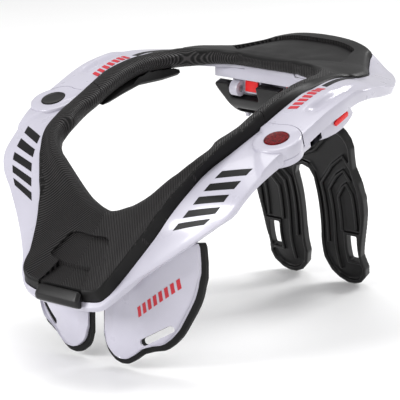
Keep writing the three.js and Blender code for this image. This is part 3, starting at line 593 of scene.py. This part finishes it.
def pad_ring(row):
    """A section of the padding: inner tube, crowned top, rounded brow and steep bevel."""
    s = Station(row)
    ring = []
    for i in range(TUBE_STEPS + 1):
        angle = math.radians(-90 - 180 * i / TUBE_STEPS)
        ring.append(s.at(-s.chord + s.radius * math.cos(angle), s.radius * math.sin(angle)))
    head = np.array((-s.chord, s.radius))
    brow = np.array((-BEVEL_INSET, s.bevel))
    foot = np.array((-PAD_GAP, 0.0))
    span = np.linalg.norm(brow - head)
    stop = max(0.6, 1 - BROW_ROUND / span)
    for i in range(1, TOP_STEPS + 1):
        share = stop * i / TOP_STEPS
        a, b = head + (brow - head) * share
        ring.append(s.at(a, b + s.crown * math.sin(math.pi * share)))
    start = head + (brow - head) * stop
    end = brow + (foot - brow) * (BROW_ROUND / np.linalg.norm(foot - brow))
    lift = s.crown * math.sin(math.pi * stop)
    for i in range(1, BROW_STEPS + 1):
        t = i / BROW_STEPS
        a, b = (1 - t) ** 2 * start + 2 * t * (1 - t) * brow + t**2 * end
        ring.append(s.at(a, b + lift * (1 - t) ** 2))
    ring.append(s.at(-PAD_GAP - 0.3, 1.2))
    ring.append(s.at(foot[0], foot[1]))
    ring.append(s.at(-PAD_GAP, -PAD_SEAT))
    return ring


def platform_lift(row, share):
    """The raised ground round each boss and the scoop that runs back from it over the rear shell."""
    place = folded(row)
    ground = GROUND_RISE * smoothstep(place - (10.2 - 2.3 * share), 0, 0.25)
    ground *= 1 - smoothstep(place, 12.6 + 1.2 * share, 13.4 + 1.2 * share)
    middle = 0.6 + 0.03 * (place - 12)
    scoop = SCOOP_DEPTH * smoothstep(share, middle - 0.16, middle)
    scoop *= 1 - smoothstep(share, middle + 0.08, middle + 0.26)
    return ground - scoop * smoothstep(place, 11.7, 12.3) * (1 - smoothstep(place, 13.2, 15.6))


def shell_lift(station, row, share):
    """How far the shell's top face stands above the line from the seat to the rim."""
    crown = SHELL_CROWN * station.spread * 4 * share * (1 - share)
    return crown + platform_lift(row, share) * station.spread


def shell_ring(row):
    """A section of the shell: top face, rounded rim, lip, underside and inner flange."""
    s = Station(row)
    depth = lip_depth(s.place)
    reach = flange_share(s.place)
    lip = min(RIM_WALL, 0.45 * s.width)
    corner = s.on_shell(s.rim, -lip, -SHELL_WALL)
    steep = max(0, -float(np.dot(s.shell_out, s.up)))
    foot = s.at(-SHELL_WALL * steep, -(PAD_SEAT + PAD_GAP + SHELL_WALL))
    middle = s.on_shell((s.seat + s.rim) / 2, 0, SHELL_CROWN - SHELL_WALL)
    under = (corner + foot) / 2 * (1 - s.spread) + middle * s.spread
    ring = [s.at(0, -0.6)]
    for i in range(SHELL_STEPS + 1):
        share = 0.015 + 0.97 * i / SHELL_STEPS
        ring.append(s.on_shell(s.seat + (s.rim - s.seat) * share, 0, shell_lift(s, row, share)))
    ring.append(s.on_shell(s.rim, 0.25, -0.45))
    ring.append(s.on_shell(s.rim, 0.4, -1.2))
    ring.append(s.on_shell(s.rim, 0.1 * depth, -depth + 0.6))
    ring.append(s.on_shell(s.rim, 0.1 * depth - 0.5, -depth))
    ring.append(s.on_shell(s.rim, 0.1 * depth - lip, -depth))
    ring.extend((corner, under, foot))
    flange_top = -(PAD_SEAT + reach * (s.radius - PAD_SEAT)) - PAD_GAP
    ring.append(s.at(-reach * s.chord, flange_top - SHELL_WALL))
    ring.append(s.at(-reach * s.chord, flange_top))
    ring.append(s.at(0, -(PAD_SEAT + PAD_GAP)))
    return ring


def sweep(ring, first, last, steps):
    """A solid through sections from one row to another, with so many steps a row."""
    count = round((last - first) * steps)
    return loft_data([ring(first + (last - first) * i / count) for i in range(count + 1)])


SEAM_Y = COLLAR[SEAM_ROW][4] * HALF_LENGTH


def front_region(offset):
    """The space that the front half takes, grown by an offset."""
    region = box_tool((-FAR, -FAR, -FAR), (FAR, BOSS[1] + offset, FAR))
    reach = BOSS[0] - 1 + offset
    boolean(region, box_tool((-reach, -FAR, -FAR), (reach, SEAM_Y + offset, FAR)), "UNION")
    for side in SIDES:
        boolean(region, disc_tool(side, BOSS_RADIUS + offset, -BOSS_FAR, BOSS_FAR), "UNION")
    return region


# Front half
def build_front_shell():
    piece = tool(*sweep(shell_ring, -SEAM_ROW - 1, SEAM_ROW + 1, 10))
    piece.name = "front_shell_skin"
    boolean(piece, front_region(0), "INTERSECT")
    r = BOSS_RADIUS
    rounded = [
        (r - 0.4, -BOSS_DEPTH), (r, -BOSS_DEPTH + 0.4), (r, -0.5), (r - 0.35, 0.35), (r - 1.3, 0.9),
        (r - 3.4, 1.0),
    ]
    pocket = (CAP_LENGTH / 2 + CAP_GAP, CAP_WIDTH / 2 + CAP_GAP)
    for side in SIDES:
        below = disc_tool(side, BOSS_RADIUS + SEAM_GAP, -BOSS_FAR, -BOSS_DEPTH)
        boolean(piece, below, "DIFFERENCE")
        boolean(piece, tool(*disc_data(side, rounded)), "UNION")
        floor = -CAP_SEAT - CAP_GAP - (BUTTON_TRAVEL if side > 0 else 0)
        boolean(piece, disc_tool(side, 1, floor, 9, pocket), "DIFFERENCE")
        boolean(piece, disc_tool(side, PIN_BORE, -PIN_BORE_DEPTH, 0), "DIFFERENCE")
    dress(piece, "shell", "front_half", ["front_shell"])


def notch_tool():
    front = Station(0).seat
    rear = front[1] + NOTCH_LENGTH
    low = front[2] - BEVEL_HEIGHT
    high = front[2] + 4 * BEVEL_HEIGHT
    rear_z = front[2] + BEVEL_HEIGHT + NOTCH_RISE * NOTCH_LENGTH
    rows = [
        (rear, rear_z, 0.72), (front[1], front[2] + BEVEL_HEIGHT, 1), (front[1] - 0.8, low, 1),
        (-FAR, low, 1.05), (-FAR, high, 1.05), (rear, high, 0.72),
    ]
    rings = [[(side * NOTCH_HALF_WIDTH * wide, y, z) for y, z, wide in rows] for side in SIDES]
    return tool(*loft_data(rings))


def pad_indices(piece):
    """Material of each face: the steep outer bevel and the rear top are smooth, the rest ribbed."""
    count = 4 * RING_ROWS
    rows = [Station(RING_ROWS * i / count) for i in range(count)]
    brows = np.array([s.at(-BEVEL_INSET, s.bevel) for s in rows])
    outs = np.array([s.outward for s in rows])
    ups = np.array([s.up for s in rows])
    indices = []
    for face in piece.data.polygons:
        centre = np.array(face.center) / MM
        k = int(np.argmin(((brows - centre) ** 2).sum(axis=1)))
        normal = np.array(face.normal)
        near = np.dot(centre - brows[k], outs[k]) > -1.6
        edge = near and np.dot(normal, ups[k]) < 0.93
        indices.append(int(edge or (centre[1] > REAR_TOP_Y and normal[2] > 0.5)))
    return indices


def finish_pad(piece, body, replaced):
    indices = pad_indices(piece)
    piece.data.materials.append(MATERIALS["pad"])
    piece.data.materials.append(MATERIALS["pad_edge"])
    piece.data.polygons.foreach_set("material_index", indices)
    finish_piece(piece, body, [replaced], 42)


def pad_patch(first, last, inner, outer, depth, steps=8):
    """A tool that presses a shallow panel into the padding, between two rows and two reaches."""

    def ring(row):
        s = Station(row)
        span = s.chord - BEVEL_INSET

        def floor(a):
            share = min(1, max(0, (a + s.chord) / span))
            lift = s.crown * math.sin(math.pi * share)
            return s.radius + (s.bevel - s.radius) * share + lift - depth

        low, high = inner(row, s), outer(row, s)
        reach = [low + (high - low) * i / 6 for i in range(7)]
        return [s.at(a, floor(a)) for a in reach] + [s.at(high + 1.5, 30), s.at(low - 1.5, 30)]

    return tool(*sweep(ring, first, last, steps))


def build_front_pad():
    piece = tool(*sweep(pad_ring, -SEAM_ROW - 1, SEAM_ROW + 1, 10))
    piece.name = "front_pad_skin"
    boolean(piece, box_tool((-FAR, -FAR, -FAR), (FAR, SEAM_Y - SEAM_GAP / 2, FAR)), "INTERSECT")
    for side in SIDES:
        boolean(piece, disc_tool(side, BOSS_RADIUS + PAD_GAP, -BOSS_FAR, BOSS_FAR), "DIFFERENCE")
    boolean(piece, notch_tool(), "DIFFERENCE")
    half = 1.5
    panel = pad_patch(
        -half, half,
        lambda row, s: -s.chord + 17 + 5 * (abs(row) / half) ** 3,
        lambda row, s: -25 - 2 * (abs(row) / half) ** 4, FRONT_RECESS_DEPTH)
    boolean(piece, panel, "DIFFERENCE")
    finish_pad(piece, "front_half", "front_pad")


# Rear half
def tongue_data(side):
    r, top, foot, edge = TONGUE_RADIUS, TONGUE_TOP, TONGUE_TOP - TONGUE_WALL, TONGUE_EDGE
    return disc_data(side, ((r - edge, foot), (r, foot + edge), (r, top - edge), (r - edge, top)))


def boss_block(side, low, high):
    return tool([on_boss(side, *corner) for corner in box_corners(low, high)], BOX_FACES)


def build_rear_shell():
    piece = tool(*sweep(shell_ring, SEAM_ROW - 2, RING_ROWS - SEAM_ROW + 2, 8))
    piece.name = "rear_shell_skin"
    boolean(piece, front_region(SEAM_GAP), "DIFFERENCE")
    foot = TONGUE_TOP - TONGUE_WALL
    riser_front = BOSS_RADIUS + 2 * SEAM_GAP
    for side in SIDES:
        low, high = sorted((TONGUE_INNER * side, TONGUE_OUTER * side))
        tongue = tool(*tongue_data(side))
        bridge = boss_block(side, (low, 0, foot), (high, TONGUE_REACH, TONGUE_TOP))
        boolean(tongue, bridge, "UNION")
        riser = boss_block(side, (low, riser_front, foot), (high, TONGUE_REACH, -SHELL_WALL))
        boolean(tongue, riser, "UNION")
        boolean(piece, tongue, "UNION")
        boolean(piece, disc_tool(side, PIN_BORE, -PIN_BORE_DEPTH, 0), "DIFFERENCE")
    dress(piece, "shell", "rear_half", ["rear_shell"])


def build_rear_pad():
    piece = tool(*sweep(pad_ring, SEAM_ROW - 1, RING_ROWS - SEAM_ROW + 1, 8))
    piece.name = "rear_pad_skin"
    boolean(piece, box_tool((-FAR, SEAM_Y + SEAM_GAP / 2, -FAR), (FAR, FAR, FAR)), "INTERSECT")
    half = 4.4
    panel = pad_patch(
        HALF_RING - half, HALF_RING + half,
        lambda row, s: -s.chord + 1.6 * s.radius,
        lambda row, s: -16 - 7 * (abs(row - HALF_RING) / half) ** 4, REAR_RECESS_DEPTH)
    boolean(piece, panel, "DIFFERENCE")
    finish_pad(piece, "rear_half", "rear_pad")


# Chest plates
def chest_face(x):
    """Depth of the plate's front face, flat near the middle and bent back to the side."""
    flat = CHEST_FLAT * HALF_WIDTH
    return CHEST_FACE_Y * HALF_LENGTH + CHEST_BEND * max(0, x - flat) ** 2


def past_line(x, z, line):
    """Distance to the left of a line, and 0 to its right."""
    (ax, az), (bx, bz) = line["start"], line["end"]
    return max(0, ((z - az) * (bx - ax) - (x - ax) * (bz - az)) / math.hypot(bx - ax, bz - az))


def crease(x, z):
    """How far the plate's faces fall back from their two creases, in mm."""
    return sum(line["fall"] * past_line(x, z, line) for line in (OUTER_CREASE, INNER_CREASE))


def chest_solid(side, inset, raised, back, thick, creased):
    xs = CHEST[:, 0] * HALF_WIDTH
    first, last = xs[0], xs[-1]
    middle = (first + last) / 2
    squeeze = 1 - 2 * inset / (last - first)
    rows, cols, edge = 64, 40, 1.1
    rings = []
    for i in range(rows + 1):
        outline_x = first + (last - first) * (0.5 - 0.5 * math.cos(math.pi * i / rows))
        x = middle + (outline_x - middle) * squeeze
        foot = np.mean([np.interp(outline_x + d, xs, CHEST[:, 1]) for d in (-1, 0, 1)])
        low = foot * HEIGHT + raised
        high = min(np.interp(outline_x, xs, CHEST[:, 2]) * HEIGHT, CHEST_TOP)
        high = max(high, low + 1)
        face = chest_face(x) + back
        ring = []
        for j in range(cols + 1):
            z = low + edge + (high - low - 2 * edge) * j / cols
            ring.append((side * x, face + (crease(x, z) if creased else 0), z))
        ring.append((side * x, face + 0.4, high - 0.3))
        ring.append((side * x, face + thick, high))
        ring.append((side * x, face + thick, low))
        ring.append((side * x, face + edge, low))
        ring.append((side * x, face + 0.35, low + 0.35))
        rings.append(ring)
    return rings


def slot_tool(side):
    slot = CHEST_SLOT
    c, s = math.cos(slot["turn"]), math.sin(slot["turn"])
    outline = []
    for end in (1, -1):
        for i in range(9):
            angle = -end * math.pi / 2 + math.pi * i / 8
            a = end * slot["half"] + slot["radius"] * math.cos(angle)
            b = slot["radius"] * math.sin(angle)
            outline.append((a * c - b * s, a * s + b * c))
    x, z = slot["x"] * HALF_WIDTH, slot["z"] * HEIGHT
    rings = [[(side * (x + a), y, z + b) for a, b in outline] for y in (-160, -60)]
    return tool(*loft_data(rings))


def build_chest(side, hand):
    plate = tool(*loft_data(chest_solid(side, PLATE_INSET, PLATE_RAISED, 0, PLATE_WALL, True)))
    plate.name = "chest_plate_skin_" + hand
    boolean(plate, slot_tool(side), "DIFFERENCE")
    dress(plate, "shell", "front_half", ["chest_plate_" + hand], 24)
    foam = tool(*loft_data(chest_solid(side, 0, 0, CHEST_FOAM_SEAT, CHEST_FOAM, False)))
    foam.name = "chest_pad_skin_" + hand
    boolean(foam, slot_tool(side), "DIFFERENCE")
    dress(foam, "foam", "front_half", ["chest_pad_" + hand], 40)


# Back strut, made flat and then bent along its side profile
def eased_band(reach=7):
    """The band's corners joined by a line that is smoothed over a reach of mm."""
    corners = STRUT_BAND * np.array((HALF_LENGTH, HEIGHT))
    run = np.concatenate(([0], np.cumsum(np.linalg.norm(np.diff(corners, axis=0), axis=1))))
    places = np.arange(0, run[-1], 1)
    line = []
    for place in places:
        half = min(reach, place, run[-1] - place)
        near = place + np.linspace(-half, half, 9)
        line.append([np.interp(near, run, corners[:, k]).mean() for k in (0, 1)])
    return np.array(line)


BAND = eased_band()
BAND_RUN = np.concatenate(([0], np.cumsum(np.linalg.norm(np.diff(BAND, axis=0), axis=1))))


def band_run(z):
    """Length along the band from its top down to a height."""
    return float(np.interp(-z, -BAND[:, 1], BAND_RUN))


def bend(run, depth):
    """A point of the band, at a run from its top and a depth behind its front face."""
    here = np.array([np.interp(run, BAND_RUN, BAND[:, k]) for k in (0, 1)])
    ahead = np.array([np.interp(min(run + 4, BAND_RUN[-1]), BAND_RUN, BAND[:, k]) for k in (0, 1)])
    behind = np.array([np.interp(max(run - 4, 0), BAND_RUN, BAND[:, k]) for k in (0, 1)])
    way = unit(ahead - behind)
    return here[0] - way[1] * depth, here[1] + way[0] * depth


def flat_prism(outline, low, high):
    """A solid between two depths of the flat strut, from x and run."""
    rings = [[(x, depth, run) for x, run in outline] for depth in (low, high)]
    return tool(*loft_data(rings))


def bar_outline(points, width):
    """A strip along a line of points, with mitred corners."""
    line = [np.array(p, dtype=float) for p in points]
    left, right = [], []
    for i, p in enumerate(line):
        before = line[max(0, i - 1)]
        after = line[min(len(line) - 1, i + 1)]
        way = unit(after - before)
        side = np.array((-way[1], way[0])) * width / 2
        left.append(tuple(p + side))
        right.append(tuple(p - side))
    return left + right[::-1]


def strut_outline():
    half = [(x * HALF_WIDTH, z * HEIGHT) for x, z in STRUT_OUTLINE]
    return half + [(-x, z) for x, z in reversed(half[1:-1])]


def strut_slot(side):
    """Tool for a strap slot, and the four bars of the raised rim round it."""
    slot = STRUT_SLOT
    x, z, half, rim = side * slot["x"] * HALF_WIDTH, slot["z"] * HEIGHT, slot["half_width"], slot["rim"]
    low, high = band_run(z + slot["half_height"]), band_run(z - slot["half_height"])
    left, right = -7.2, 6.6
    bars = []
    for a, b, top, foot in (
        (left, -half, low - rim, high + rim), (half, right, low - rim, high + rim),
        (left, right, low - rim, low), (left, right, high, high + rim),
    ):
        bars.append(flat_prism([(x + a, top), (x + b, top), (x + b, foot), (x + a, foot)], 0.5, 4.5))
    slot_outline = [(x - half, low), (x + half, low), (x + half, high), (x - half, high)]
    return flat_prism(slot_outline, -5, 20), bars


def build_strut():
    outline = [(x, band_run(z)) for x, z in strut_outline()]
    body = flat_prism(outline, STRUT_FRONT, STRUT_BACK)
    parts = []
    for side in SIDES:
        recess = [(side * x, band_run(z)) for x, z in STRUT_RECESS]
        boolean(body, flat_prism(recess, -2, 3 + 0.02 * side), "DIFFERENCE")
        for points in STRUT_RIBS:
            line = [(side * x, band_run(z)) for x, z in points]
            strip = bar_outline(line, STRUT_RIB_WIDTH)
            parts.append(flat_prism(strip, STRUT_RIB_HEAD, STRUT_RIB_FOOT))
        slot, bars = strut_slot(side)
        parts.extend(bars)
        boolean(body, slot, "DIFFERENCE")
    join(body, parts)
    remesh = body.modifiers.new("remesh", "REMESH")
    remesh.mode = "VOXEL"
    remesh.voxel_size = STRUT_VOXEL * MM
    smooth = body.modifiers.new("smooth", "SMOOTH")
    smooth.factor = 0.5
    smooth.iterations = 3
    apply_modifiers(body)
    for vertex in body.data.vertices:
        x, depth, run = (value / MM for value in vertex.co)
        y, z = bend(run, depth)
        vertex.co = (x * MM, y * MM, max(z, 0) * MM)
    body.data.update()
    body.name = "strut_skin"
    dress(body, "black_plastic", "back_strut", ["strut"], 60)


# Copies of the frame's small parts with softened edges
def softened(name, key, body, width, angle=25, cutters=()):
    piece = bpy.data.objects.new(name + "_skin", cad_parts[name].data.copy())
    bpy.context.scene.collection.objects.link(piece)
    work = bmesh.new()
    work.from_mesh(piece.data)
    bmesh.ops.remove_doubles(work, verts=work.verts, dist=2e-6)
    bmesh.ops.dissolve_limit(work, angle_limit=math.radians(2), verts=work.verts, edges=work.edges)
    work.to_mesh(piece.data)
    work.free()
    for cutter in cutters:
        boolean(piece, cutter, "DIFFERENCE")
    bevelled(piece, width, 3, angle)
    dress(piece, key, body, [name], 30)
    return piece


def paint_pin(name):
    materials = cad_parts[name].data.materials
    materials.clear()
    materials.append(MATERIALS["steel"])


def build_tab():
    """The catch tab at the front centre: a hooded block with a flat sloped face."""
    low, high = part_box("front_tab")
    x = high.x / MM
    y0, y1 = low.y / MM, high.y / MM
    z0, z1 = low.z / MM, high.z / MM
    depth, tall = y1 - y0, z1 - z0
    profile = [
        (y1, z0), (y1, z1 - 0.2), (y1 - 0.35 * depth, z1), (y0 + 0.12 * depth, z1 - 0.42 * tall),
        (y0, z1 - 0.55 * tall), (y0 + 0.1 * depth, z0 + 0.15 * tall), (y0 + 0.4 * depth, z0),
    ]
    rings = []
    for share in (-1, -0.86, 0.86, 1):
        drop, back = (1.6, 0.8) if abs(share) == 1 else (0, 0)
        rings.append([
            (share * x, y + (back if y < y1 - 1 else 0), z - drop * (z - z0) / tall)
            for y, z in profile])
    piece = tool(*loft_data(rings))
    piece.name = "front_tab_skin"
    bevelled(piece, 0.7, 4, 20)
    dress(piece, "black_plastic", "front_half", ["front_tab"], 30)


def build_housing():
    cutters = []
    for ends, profile in (((40, 60), LEAF_TRIM_LEFT), ((-60, -40), LEAF_TRIM_RIGHT)):
        cutters.append(tool(*loft_data([[(x, y, z) for y, z in profile] for x in ends])))
    softened("strut_housing", "shell", "rear_half", 0.7, cutters=cutters)


# Boss fittings
def build_cap(side, name, key, body):
    """An oval cap with a raised rim, and for the latch the stem below it."""
    profile = [
        (1, -CAP_SEAT), (1, 1.2), (0.985, 1.6), (0.94, 1.85), (0.88, 1.7), (0.8, 1.45), (0.4, 1.4),
        (0.05, 1.4),
    ]
    piece = tool(*disc_data(side, profile, (CAP_LENGTH / 2, CAP_WIDTH / 2)))
    piece.name = name + "_skin"
    if side > 0:
        boolean(piece, disc_tool(side, PIN_RADIUS, -BOSS_DEPTH, -2), "UNION")
    dress(piece, key, body, [name], 30)


def build_shoulder(hand):
    piece = softened("shoulder_pad_" + hand, "foam", "rear_half", 0.6, 40)


# Printed marks, as thin raised bars
def shell_mark(name, rows, shares, slant, body, key, rise=MARK_RISE):
    """A bar on the shell between two rows and two shares of its width, slanted along the rows."""
    steps = 8
    top, low = [], []
    for i in range(steps + 1):
        for j in range(5):
            share = shares[0] + (shares[1] - shares[0]) * j / 4
            row = rows[0] + (rows[1] - rows[0]) * i / steps + slant * (share - 0.5)
            s = Station(row)
            lift = shell_lift(s, row, share)
            base = s.seat + (s.rim - s.seat) * share
            top.append(s.on_shell(base, 0, lift + rise))
            low.append(s.on_shell(base, 0, lift - 0.4))
    count = len(top)
    faces = []
    for i in range(steps):
        for j in range(4):
            a = i * 5 + j
            quad = (a, a + 1, a + 6, a + 5)
            faces.append(quad)
            faces.append(tuple(count + k for k in reversed(quad)))
    edge = list(range(5)) + [i * 5 + 4 for i in range(1, steps + 1)]
    edge += [steps * 5 + j for j in range(3, -1, -1)] + [i * 5 for i in range(steps - 1, 0, -1)]
    for k, a in enumerate(edge):
        b = edge[(k + 1) % len(edge)]
        faces.append((b, a, count + a, count + b))
    dress(make_piece(name, top + low, faces), key, body)


def mark_rows(side, first, width):
    """The rows of a mark on the rear half, mirrored on the wearer's right."""
    start = first if side > 0 else RING_ROWS - first
    return sorted((start, start + side * width))


def build_marks():
    bars, dashes, stripe = SIDE_BARS, RED_DASHES, REAR_STRIPE
    for side in SIDES:
        hand = HANDS[side]
        for i in range(bars["count"]):
            first = bars["first"] + bars["pitch"] * i
            rows = sorted((side * first, side * (first + bars["width"])))
            slant = side * bars["slant"]
            name = "side_bar_%s_%d" % (hand, i)
            shell_mark(name, rows, bars["reach"], slant, "front_half", "marking_black")
        for i in range(dashes["count"]):
            rows = mark_rows(side, dashes["first"] + dashes["pitch"] * i, dashes["width"])
            slant = side * dashes["slant"]
            name = "red_dash_%s_%d" % (hand, i)
            shell_mark(name, rows, dashes["reach"], slant, "rear_half", "marking_red", DASH_RISE)
        rows = mark_rows(side, stripe["first"], stripe["width"])
        shell_mark("rear_stripe_" + hand, rows, stripe["reach"], 0, "rear_half", "marking_black")


def build_chest_marks():
    dashes = CHEST_DASHES
    for side in SIDES:
        for i in range(dashes["count"]):
            a, c = dashes["x"] + dashes["step_x"] * i, dashes["z"] + dashes["step_z"] * i
            corners = [(a, c), (a + 2.1, c + 1.8), (a + 1.1, c + 9), (a - 1, c + 7.2)]
            points = [
                (side * x, chest_face(x) + crease(x, z) + depth, z)
                for depth in (-0.3, 0.6) for x, z in corners]
            bar = make_piece("chest_dash_%s_%d" % (HANDS[side], i), points, BAR_FACES)
            dress(bar, "marking_red", "front_half")


# Floor and light
def build_stage():
    bpy.ops.mesh.primitive_plane_add(size=8, location=(0, 0, -0.0004))
    floor = bpy.context.object
    floor.name = "floor"
    material, tree, shader = new_material("floor", (0.9, 0.9, 0.9), 0.6)
    grey, white = (0.93, 0.93, 0.93), (0.96, 0.96, 0.96)
    tree.links.new(tint(tree, noise(tree, 3), grey, white), shader.inputs["Base Color"])
    floor.data.materials.append(material)
    world = bpy.context.scene.world or bpy.data.worlds.new("world")
    bpy.context.scene.world = world
    world.use_nodes = True
    background = world.node_tree.nodes["Background"]
    background.inputs["Color"].default_value = (1, 1, 1, 1)
    background.inputs["Strength"].default_value = 0.55
    bpy.context.scene.view_settings.view_transform = "Standard"
    for name, place, size, power in LIGHTS:
        data = bpy.data.lights.new(name, "AREA")
        data.size = size
        data.energy = power
        light = bpy.data.objects.new(name, data)
        light.location = place
        light.rotation_euler = (LIGHT_AIM - Vector(place)).to_track_quat("-Z", "Y").to_euler()
        bpy.context.scene.collection.objects.link(light)


build_front_shell()
build_front_pad()
build_rear_shell()
build_rear_pad()
for side in SIDES:
    hand = HANDS[side]
    build_chest(side, hand)
    build_shoulder(hand)
    softened("adjuster_inner_" + hand, "red_plastic", "rear_half", 0.5)
    softened("adjuster_outer_" + hand, "red_plastic", "rear_half", 0.4)
    paint_pin("strut_pin_" + hand)
build_strut()
build_housing()
build_tab()
build_cap(-1, "hinge_cap", "black_plastic", "front_half")
build_cap(1, "latch_button", "latch_red", "latch")
paint_pin("hinge_pin")
build_marks()
build_chest_marks()
build_stage()
